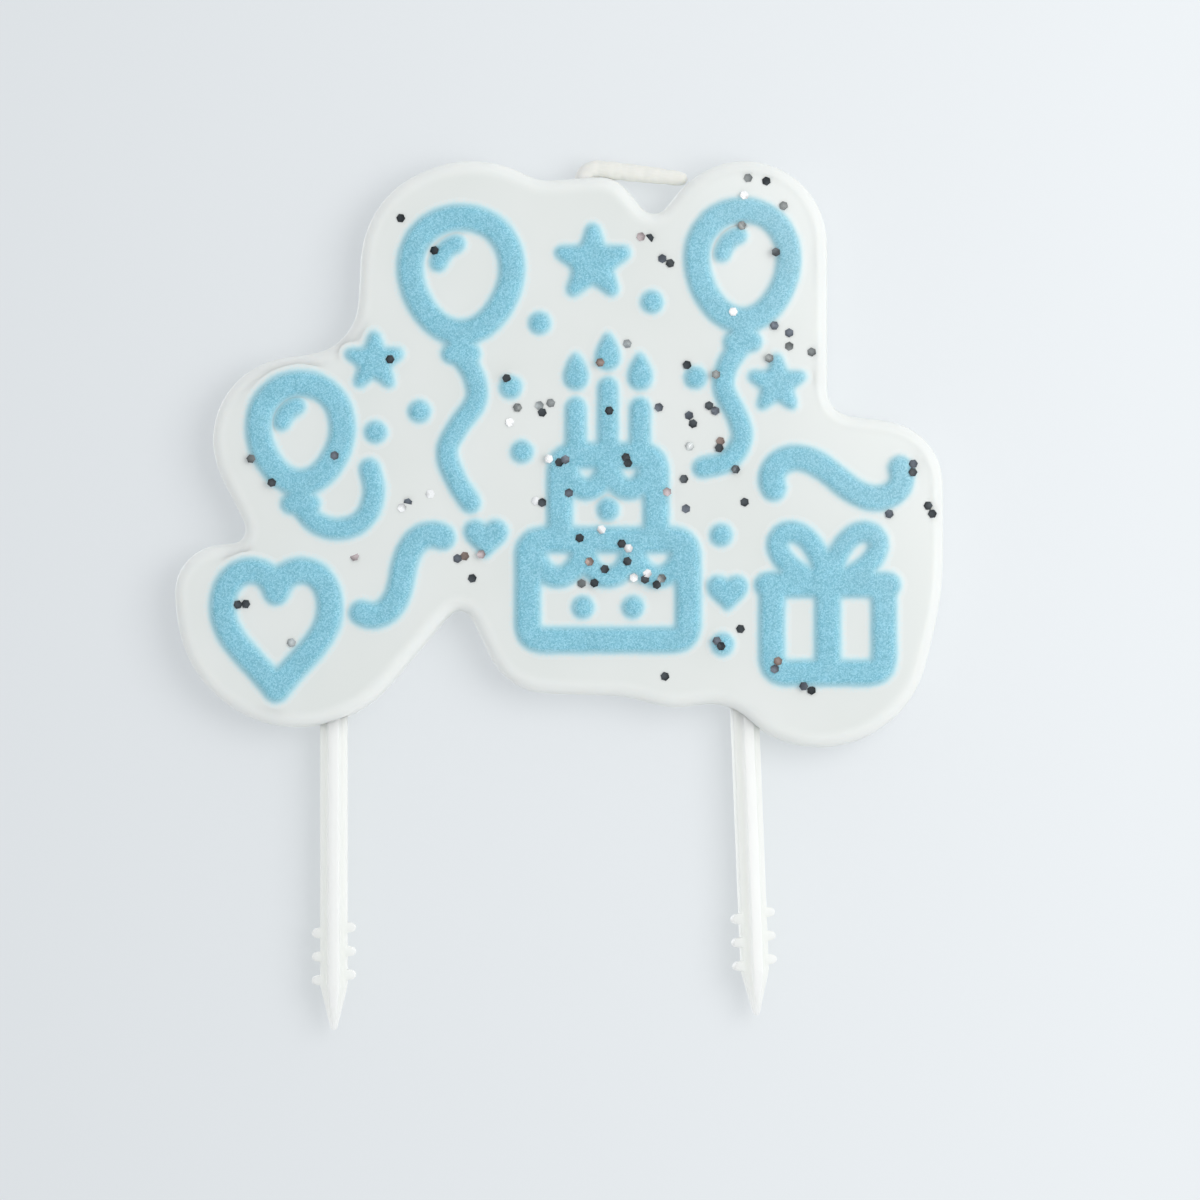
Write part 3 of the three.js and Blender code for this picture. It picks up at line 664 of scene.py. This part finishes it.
def flake_places(outline, rng):
    """Places on the plaque, densest round the glitter's centre. Half of them fall in pinches,
    each scattered round a place of its own, and some have a second flake 0.75 to 1.15 widths
    away, which overlaps them or lies close by."""
    low, high = outline.min(axis=0), outline.max(axis=0)
    tries = low + rng.random((GLITTER_TRIES, 2)) * (high - low)
    off = (tries - GLITTER_CENTRE) / np.array(GLITTER_SPREAD)
    share = GLITTER_FAR_SHARE + (1 - GLITTER_FAR_SHARE) * np.exp(-(off**2).sum(axis=1))
    tries = tries[rng.random(len(tries)) < share]
    pinches = tries[:PINCH_COUNT].copy()
    pinched = rng.random(len(tries)) < PINCH_SHARE
    tries[pinched] = pinches[rng.integers(PINCH_COUNT, size=pinched.sum())]
    tries[pinched] += rng.normal(0, PINCH_SPREAD, (pinched.sum(), 2))
    inner = softened(outline, 0.5 * MM, OUTLINE_SOFTNESS)
    gap = np.linalg.norm(tries[:, None] - inner[None, ::2], axis=2).min(axis=1)
    tries = tries[inside_outline(tries, inner) & (gap > FLAKE_EDGE_MARGIN)]
    kept = []
    for place in tries:
        if len(kept) >= FLAKE_COUNT:
            break
        near = min((np.hypot(*(place - other)) for other in kept), default=math.inf)
        if near < FLAKE_GAP:
            continue
        kept.append(place)
        if rng.random() < TOUCHING_SHARE:
            turn = rng.random() * 2 * math.pi
            reach = FLAKE_WIDTH * (0.75 + 0.4 * rng.random())
            kept.append(place + reach * np.array([math.cos(turn), math.sin(turn)]))
    return np.array(kept[:FLAKE_COUNT])


def bed_under(place, relief_points, radius):
    """The slope and height of the wax under a flake: a plane fitted to the design there and
    raised until it clears it, or level on the highest of a few points, or level on the face."""
    close = relief_points[np.hypot(*(relief_points[:, :2] - place).T) < 0.85 * radius]
    spread = close[:, :2] - place
    heights = np.maximum(close[:, 2], 0.0)
    if len(close) > FLAKE_FIT_POINTS:
        plane = np.column_stack([spread, np.ones(len(close))])
        fit = np.linalg.lstsq(plane, heights, rcond=None)[0]
        slope = np.clip(fit[:2], -FLAKE_STEEPEST, FLAKE_STEEPEST)
        return slope, (heights - spread @ slope).max()
    return np.zeros(2), heights.max() if len(close) else 0.0


def glitter_piece(outline, relief_points, face_y, material):
    """Hexagonal flakes that lie on whatever is under them: each takes the height and slope of the
    wax round its middle, a small tilt and bend of its own, and a tone with painted light and shade
    across it. A few on the face are tilted more and half sunk in the wax."""
    rng = np.random.default_rng(GLITTER_SEED)
    places = flake_places(outline, rng)
    radius = FLAKE_WIDTH / math.sqrt(3)
    points, tones = [], []
    foil = np.array([linear(colour)[:3] for colour in FOIL_AND_PAINTED_REFLECTION_TONES])
    odds = list(FOIL_AND_PAINTED_REFLECTION_TONES.values())
    corner = np.arange(6) * math.pi / 3
    for number, place in enumerate(places):
        slope, rest = bed_under(place, relief_points, radius)
        slope = slope + rng.normal(0, FLAKE_TILT, 2)
        turn = rng.random() * math.pi
        sunk = rng.random() < SUNK_SHARE and rest == 0.0
        if sunk:
            slope += rng.uniform(0.5, 0.9) * np.array([math.cos(5 * turn), math.sin(5 * turn)])
        ring = place + radius * np.stack([np.cos(corner + turn), np.sin(corner + turn)], -1)
        flat = np.vstack([place[None], ring])
        bend_way = np.array([math.cos(turn * 3), math.sin(turn * 3)])
        bend = rng.normal(0, FLAKE_BEND) * np.abs((flat - place) @ bend_way)
        lift = FLAKE_LIFT + rest + (flat - place) @ slope + bend + (number % 3) * FLAKE_STEP
        if not sunk:
            lift += max(0.0, FLAKE_LEAST_LIFT - lift.min())
        lift -= max(0.0, lift.max() - FLAKE_HIGHEST)
        for rise in (FLAKE_THICKNESS, 0.0):
            points.append(np.stack([flat[:, 0], face_y - lift - rise, flat[:, 1]], -1))
        # the flake's colour: partly its coating and partly a painted reflection
        tone = foil[rng.choice(len(foil), p=odds)]
        # painted light across the flake: lighter towards one side along its bend, a painted glint
        # at its middle, and its corners lighter or darker at random
        light = rng.uniform(0.75, 1.2) * (1 + 0.32 * ((flat - place) @ bend_way) / radius)
        light *= np.append(rng.uniform(1.0, 1.7), rng.uniform(0.55, 1.25, 6))
        shades = np.clip(tone[None] * light[:, None], 0, 0.97)
        tones += [np.column_stack([shades, np.ones(7)])] * 2
    # each flake has 7 points on top and 7 below: its middle, then its corners
    k = np.arange(6)
    after = (k + 1) % 6
    top = np.stack([0 * k, 1 + k, 1 + after], -1)
    under = np.stack([7 + 0 * k, 8 + after, 8 + k], -1)
    side = np.stack([1 + after, 1 + k, 8 + k, 8 + after], -1)
    shift = (np.arange(len(places)) * 14)[:, None, None]
    triangles = (np.concatenate([top, under])[None] + shift).reshape(-1, 3)
    piece = build(
        "glitter_foil_flakes", np.concatenate(points),
        [triangles, (side[None] + shift).reshape(-1, 4)], material,
        values={"tone": np.concatenate(tones)})
    piece.data.shade_flat()
    return piece


# ---------------------------------------------------------------- wick


def wick_path():
    """Even points up through the wax, round the bend and along the top edge with a slight droop,
    with the length along them. The bend is a quadratic curve and the run a cubic one."""
    t = np.linspace(0, 1, 60)[:, None]
    bend_z = WICK_RUN_Z - WICK_BEND
    foot = np.array([WICK_X, WICK_FOOT_Z])
    a = np.array([WICK_X, bend_z])
    b = np.array([WICK_X, WICK_RUN_Z])
    c = np.array([WICK_X + WICK_BEND, WICK_RUN_Z])
    d = np.array([WICK_X + WICK_EXPOSED / 3, WICK_RUN_Z - 0.15 * WICK_DROOP])
    e = np.array([WICK_X + 2 * WICK_EXPOSED / 3, WICK_RUN_Z - 0.55 * WICK_DROOP])
    f = np.array([WICK_X + WICK_EXPOSED, WICK_RUN_Z - WICK_DROOP])
    way = np.vstack([
        foot + (a - foot) * t,
        (a * (1 - t) ** 2 + 2 * b * t * (1 - t) + c * t**2)[1:],
        (c * (1 - t) ** 3 + 3 * d * t * (1 - t) ** 2 + 3 * e * t**2 * (1 - t) + f * t**3)[1:],
    ])
    along = np.concatenate([[0], np.cumsum(np.linalg.norm(np.diff(way, axis=0), axis=1))])
    even = np.linspace(0, along[-1], int(along[-1] / WICK_STEP))
    return np.stack([np.interp(even, along, way[:, k]) for k in (0, 1)], -1), even


def wick_piece(material):
    """A round section carried along the path. Its radius has the humps of a braid, the greater
    of two crossing cosine spirals, lumps of two sine waves, is thicker with wax by a Gaussian
    bell where it leaves the plaque, and thins by a fifth to a rounded end."""
    path, along = wick_path()
    ahead = np.gradient(path, axis=0)
    ahead /= np.linalg.norm(ahead, axis=1, keepdims=True)
    angle = np.linspace(0, 2 * math.pi, WICK_SIDES, endpoint=False)
    top = np.argmax(path[:, 1])
    exit_at = np.interp(WICK_EXIT_Z, path[:top, 1], along[:top])
    twist = 2 * math.pi * along[:, None] / BRAID_PITCH
    braid = np.maximum(np.cos(2 * angle[None] + twist), np.cos(2 * angle[None] - twist))
    waves = np.sin(2 * math.pi * along / (3.7 * MM) + 1.0) * np.sin(along / (1.3 * MM))
    coat = np.exp(-(((along - exit_at) / WICK_COAT_LENGTH) ** 2))
    to_end = along[-1] - along
    close = np.sqrt(np.clip(1 - (1 - np.clip(to_end / WICK_ROUND_END, 0, 1)) ** 2, 0.02, 1))
    close *= 1 - WICK_THINNING * smoothstep(WICK_THINNING_LENGTH, 0, to_end)
    swell = 0.96 + BRAID_HUMP * braid * (1 - 0.7 * coat[:, None])
    radius = WICK_RADIUS * (
        swell + WICK_LUMP * waves[:, None] + WICK_COAT * coat[:, None]) * close[:, None]
    outward = np.stack([-ahead[:, 1], ahead[:, 0]], -1)
    points = np.empty((len(path), WICK_SIDES, 3))
    points[..., 0] = path[:, None, 0] + radius * np.cos(angle) * outward[:, None, 0]
    points[..., 1] = radius * np.sin(angle)
    points[..., 2] = path[:, None, 1] + radius * np.cos(angle) * outward[:, None, 1]
    shape = points.shape[:2]
    across = np.broadcast_to(WICK_RADIUS / MM * angle, shape)
    lengthwise = np.broadcast_to(along[:, None] / MM, shape)
    return build(
        "wick_braided_cotton", points.reshape(-1, 3),
        [faces[:, ::-1] for faces in tube_faces(*shape)], material, ["wick"],
        {"waxed": np.repeat(np.clip(coat * 1.1, 0, 1), WICK_SIDES)},
        np.stack([across, lengthwise], -1).reshape(-1, 2))


# ---------------------------------------------------------------- picks


def smooth_corner(t):
    """min(t, 1) with its corner rounded by a parabola of half width w."""
    w = 0.06
    bend = t - (t - 1 + w) ** 2 / (4 * w)
    return np.where(t < 1 - w, t, np.where(t > 1 + w, 1.0, bend))


def turned(x, y, angle):
    """x and y turned anticlockwise about the origin."""
    cosine, sine = math.cos(angle), math.sin(angle)
    return x * cosine - y * sine, x * sine + y * cosine


def rib_section(reach_right, reach_left, reach_front, half):
    """A cross of two ribs at each height, anticlockwise from above: round corners at the end of
    each rib and a round fillet between neighbouring ribs, each an arc of a few points."""
    corner = np.minimum(PICK_EDGE_RADIUS, 0.45 * half)
    shortest = np.minimum(np.minimum(reach_right, reach_left), reach_front)
    fillet = np.clip(shortest - half - corner, 0.004 * MM, PICK_FILLET)
    bend = np.linspace(0, math.pi / 2, 7)
    ribs = []
    for quarter, reach in enumerate((reach_right, reach_front, reach_left, reach_front)):
        x = [reach[:, None] - corner[:, None] * (1 - np.cos(bend - math.pi / 2)),
             reach[:, None] - corner[:, None] * (1 - np.cos(bend)),
             (half + fillet)[:, None] - fillet[:, None] * np.sin(bend)]
        y = [-half[:, None] + corner[:, None] * (1 + np.sin(bend - math.pi / 2)),
             half[:, None] - corner[:, None] * (1 - np.sin(bend)),
             (half + fillet)[:, None] - fillet[:, None] * np.cos(bend)]
        ribs.append(turned(np.concatenate(x, 1), np.concatenate(y, 1), quarter * math.pi / 2))
    return np.concatenate([r[0] for r in ribs], 1), np.concatenate([r[1] for r in ribs], 1)


def pick_piece(name, place, material):
    """A pick: its cross section carried up from the tip. The ribs widen along the taper, and the
    side ribs swell to a half-round barb at each barb's height: sqrt(1 - t^2), fuller by a power."""
    first = PICK_TAPER + BARB_DIAMETER / 2
    centres = first + np.arange(BARBS_PER_SIDE) * BARB_PITCH
    barbed = centres[-1] + BARB_STAGGER + BARB_DIAMETER
    # the sections are close together at the tip and along the barbs
    z = np.concatenate([
        [0.0, 0.04 * MM, 0.12 * MM, 0.25 * MM],
        np.arange(0.5 * MM, PICK_TAPER - 0.3 * MM, 0.4 * MM),
        np.arange(PICK_TAPER - 0.3 * MM, barbed, 0.06 * MM),
        np.arange(barbed, PICK_LENGTH, 1.0 * MM), [PICK_LENGTH]])
    along = smooth_corner(np.clip(z / PICK_TAPER, 0, None))
    # the last tenth of a millimetre is drawn in, so that the tip is round
    blunt = 1 - 0.45 * np.exp(-z / (0.09 * MM))
    half = 0.5 * (PICK_TIP_THICKNESS + (PICK_RIB_THICKNESS - PICK_TIP_THICKNESS) * along) * blunt
    reach = 0.5 * (PICK_TIP_WIDTH + (PICK_RIB_WIDTH - PICK_TIP_WIDTH) * along) * blunt

    def barbs(shift):
        off = (z[:, None] - centres[None] - shift) / (BARB_DIAMETER / 2)
        nub = np.sqrt(np.clip(1 - off**2, 0, None)).max(axis=1)
        return (BARB_SPAN - PICK_RIB_WIDTH) / 2 * nub**0.75

    x, y = rib_section(reach + barbs(BARB_STAGGER), reach + barbs(0.0), reach, half)
    # 1 on the deep middle rib and 0 on the thin side ribs, which the plastic paints with shade
    deep = smoothstep(0.7 * MM, 1.3 * MM, np.abs(y))
    shape = x.shape
    x, y = turned(x, y, place["turn"])
    x, up = turned(x, z[:, None], place["lean"])
    foot_x = place["side"] * PICK_SPACING / 2 + place["depth"] * math.tan(place["lean"])
    points = np.stack([foot_x + x, y, up - place["depth"]], -1)
    return build(
        name + "_moulded", points.reshape(-1, 3), tube_faces(*shape), material, [name],
        {"deep": deep.ravel()})


# ---------------------------------------------------------------- stage, lights, camera


def stage_plane(name, corners, material):
    """A flat board of the studio, which isn't a piece of the topper."""
    mesh = bpy.data.meshes.new(name)
    mesh.from_pydata(corners, [], [(0, 1, 2, 3)])
    mesh.materials.append(material)
    plane = bpy.data.objects.new(name, mesh)
    bpy.context.scene.collection.objects.link(plane)
    return plane


def looking_ray(tree):
    """1 for the camera's rays and those that are mirrored or go through a clear piece, or 0."""
    path = add(tree, "ShaderNodeLightPath")
    looking = path.outputs["Is Camera Ray"]
    for kind in ("Is Glossy Ray", "Is Transmission Ray"):
        more = add(tree, "ShaderNodeMath", {0: looking, 1: path.outputs[kind]}, operation="MAXIMUM")
        looking = more.outputs["Value"]
    return looking


def pale_board(name, centre, board, one_sided):
    """Matt pale board that keeps shadows. It fades out round its edge into the white studio, and
    only rays that look at it or mirror it meet it, so it never shades the topper. A share of it
    glows with its own paint, which softens the shadows on it."""
    material, tree = new_material(name)
    place = add(tree, "ShaderNodeTexCoord").outputs["Object"]
    offset = add(tree, "ShaderNodeVectorMath", {0: place, 1: centre}, operation="DISTANCE")
    fade = add(tree, "ShaderNodeMapRange", {
        "Value": offset.outputs["Value"], "From Min": board["full"], "From Max": board["gone"],
        "To Min": 1.0, "To Max": 0.0}, interpolation_type="SMOOTHSTEP")
    shown = add(tree, "ShaderNodeMath", {
        0: looking_ray(tree), 1: fade.outputs["Result"]}, operation="MULTIPLY")
    if one_sided:
        side = add(tree, "ShaderNodeNewGeometry")
        front = add(tree, "ShaderNodeMath", {
            0: 1.0, 1: side.outputs["Backfacing"]}, operation="SUBTRACT")
        shown = add(tree, "ShaderNodeMath", {
            0: shown.outputs["Value"], 1: front.outputs["Value"]}, operation="MULTIPLY")
    # the paint changes from left to right over the width of the photograph's frame: on the table
    # it is lighter towards the window, as painted light
    sides = add(tree, "ShaderNodeSeparateXYZ", {"Vector": place})
    across = add(tree, "ShaderNodeMapRange", {
        "Value": sides.outputs["X"], "From Min": -0.075, "From Max": 0.075})
    dim, bright = (linear(paint) for paint in board["paints"])
    paint = add(tree, "ShaderNodeMix", {
        "Factor": across.outputs["Result"], "A": dim, "B": bright}, data_type="RGBA")
    matt = add(tree, "ShaderNodeBsdfDiffuse", {"Color": paint.outputs[2]})
    # the glowing share, in the paint's own colour
    lit = add(tree, "ShaderNodeEmission", {"Color": paint.outputs[2], "Strength": 1.0})
    surface = add(tree, "ShaderNodeMixShader", {
        "Fac": board["through"], 1: matt.outputs["BSDF"], 2: lit.outputs["Emission"]})
    nothing = add(tree, "ShaderNodeBsdfTransparent")
    mix = add(tree, "ShaderNodeMixShader", {
        "Fac": shown.outputs["Value"], 1: nothing.outputs["BSDF"], 2: surface.outputs["Shader"]})
    add(tree, "ShaderNodeOutputMaterial", {"Surface": mix.outputs["Shader"]})
    return material


def area_light(name, place, target, size, watts, colour):
    """A square lamp that faces a target."""
    light = bpy.data.lights.new(name, "AREA")
    light.shape = "RECTANGLE"
    light.size, light.size_y = size, size
    light.energy = watts
    light.color = linear(colour)[:3]
    lamp = bpy.data.objects.new(name, light)
    lamp.location = place
    away = np.array(place) - np.array(target)
    pitch = math.acos(away[2] / np.linalg.norm(away))
    yaw = math.atan2(away[1], away[0]) + math.pi / 2
    lamp.rotation_euler = (pitch, 0.0, yaw)
    bpy.context.scene.collection.objects.link(lamp)
    return lamp


def set_boards():
    """The table that the topper lies on in the photograph stands close behind it, and a floor
    lies below the photograph's frame."""
    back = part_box("wax_plaque")[1][1] + TABLE_CLEARANCE
    x, z = VIEW_CENTRE
    reach = TABLE["reach"]
    stage_plane("table_behind", [
        (x - reach, back, z - reach), (x + reach, back, z - reach),
        (x + reach, back, z + reach), (x - reach, back, z + reach)],
        pale_board("table_top", (x, back, z), TABLE, one_sided=True))
    wide = FLOOR["reach"]
    stage_plane("floor", [
        (-wide, -wide, FLOOR_Z), (wide, -wide, FLOOR_Z),
        (wide, wide, FLOOR_Z), (-wide, wide, FLOOR_Z)],
        pale_board("floor_board", (0, 0, FLOOR_Z), FLOOR, one_sided=False))


def set_lights():
    """The world lights softly from everywhere and is seen as plain white. A window stands on the
    right in front, and a weak lamp fills the back."""
    world = bpy.data.worlds.new("studio")
    bpy.context.scene.world = world
    world.use_nodes = True
    tree = world.node_tree
    tree.nodes.clear()
    # the room is brighter on the window's side
    way = add(tree, "ShaderNodeTexCoord")
    side = add(tree, "ShaderNodeVectorMath", {
        0: way.outputs["Generated"], 1: (0.95, 0.0, 0.3)}, operation="DOT_PRODUCT")
    glow = add(tree, "ShaderNodeMapRange", {
        "Value": side.outputs["Value"], "From Min": -1.0, "From Max": 1.0,
        "To Min": 0.82 * WORLD_LIGHT, "To Max": 1.18 * WORLD_LIGHT})
    lit = add(tree, "ShaderNodeBackground", {
        "Color": linear("f6f8fa"), "Strength": glow.outputs["Result"]})
    shown = add(tree, "ShaderNodeBackground", {"Color": linear(STUDIO_WHITE), "Strength": 1.0})
    mix = add(tree, "ShaderNodeMixShader", {
        "Fac": looking_ray(tree), 1: lit.outputs["Background"], 2: shown.outputs["Background"]})
    add(tree, "ShaderNodeOutputWorld", {"Surface": mix.outputs["Shader"]})

    area_light(
        "window_light", place=(0.245, -0.34, 0.09), target=(0.01, 0, 0.02), size=0.3, watts=0.59,
        colour="fffdf9")
    area_light(
        "back_fill", place=(-0.5, 0.85, 0.2), target=(0, 0, 0.02), size=0.6, watts=2.2,
        colour="f6f9ff")


def set_camera():
    """Square to the face, framed as the photograph is."""
    camera = bpy.data.cameras.new("photo_camera")
    camera.sensor_width = SENSOR
    camera.lens = SENSOR * VIEW_DISTANCE / VIEW_WIDTH
    camera.clip_start, camera.clip_end = 0.01, 20.0
    holder = bpy.data.objects.new("photo_camera", camera)
    holder.location = (VIEW_CENTRE[0], -VIEW_DISTANCE, VIEW_CENTRE[1])
    holder.rotation_euler = (math.pi / 2, 0.0, 0.0)
    bpy.context.scene.collection.objects.link(holder)
    bpy.context.scene.camera = holder


# ---------------------------------------------------------------- assembly

outline = softened(back_outline("wax_plaque"), OUTLINE_SPACING, OUTLINE_SOFTNESS)
ahead = np.roll(outline, -1, axis=0)
if (outline[:, 0] * ahead[:, 1] - ahead[:, 0] * outline[:, 1]).sum() < 0:
    outline = outline[::-1]

plaque_piece(outline, white_wax())
face_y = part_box("wax_plaque")[0][1]
blue = blue_wax()
relief_nodes = sorted(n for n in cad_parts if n.startswith("relief_"))
relief_points = np.concatenate([relief_piece(node, face_y, blue) for node in relief_nodes])
glitter_piece(outline, relief_points, face_y, glitter_foil())
wick_piece(waxed_cotton())
plastic = pick_plastic()
for name, place in PICK_PLACES.items():
    pick_piece(name, place, plastic)

set_boards()
set_lights()
set_camera()
bpy.context.scene.view_settings.view_transform = "Standard"
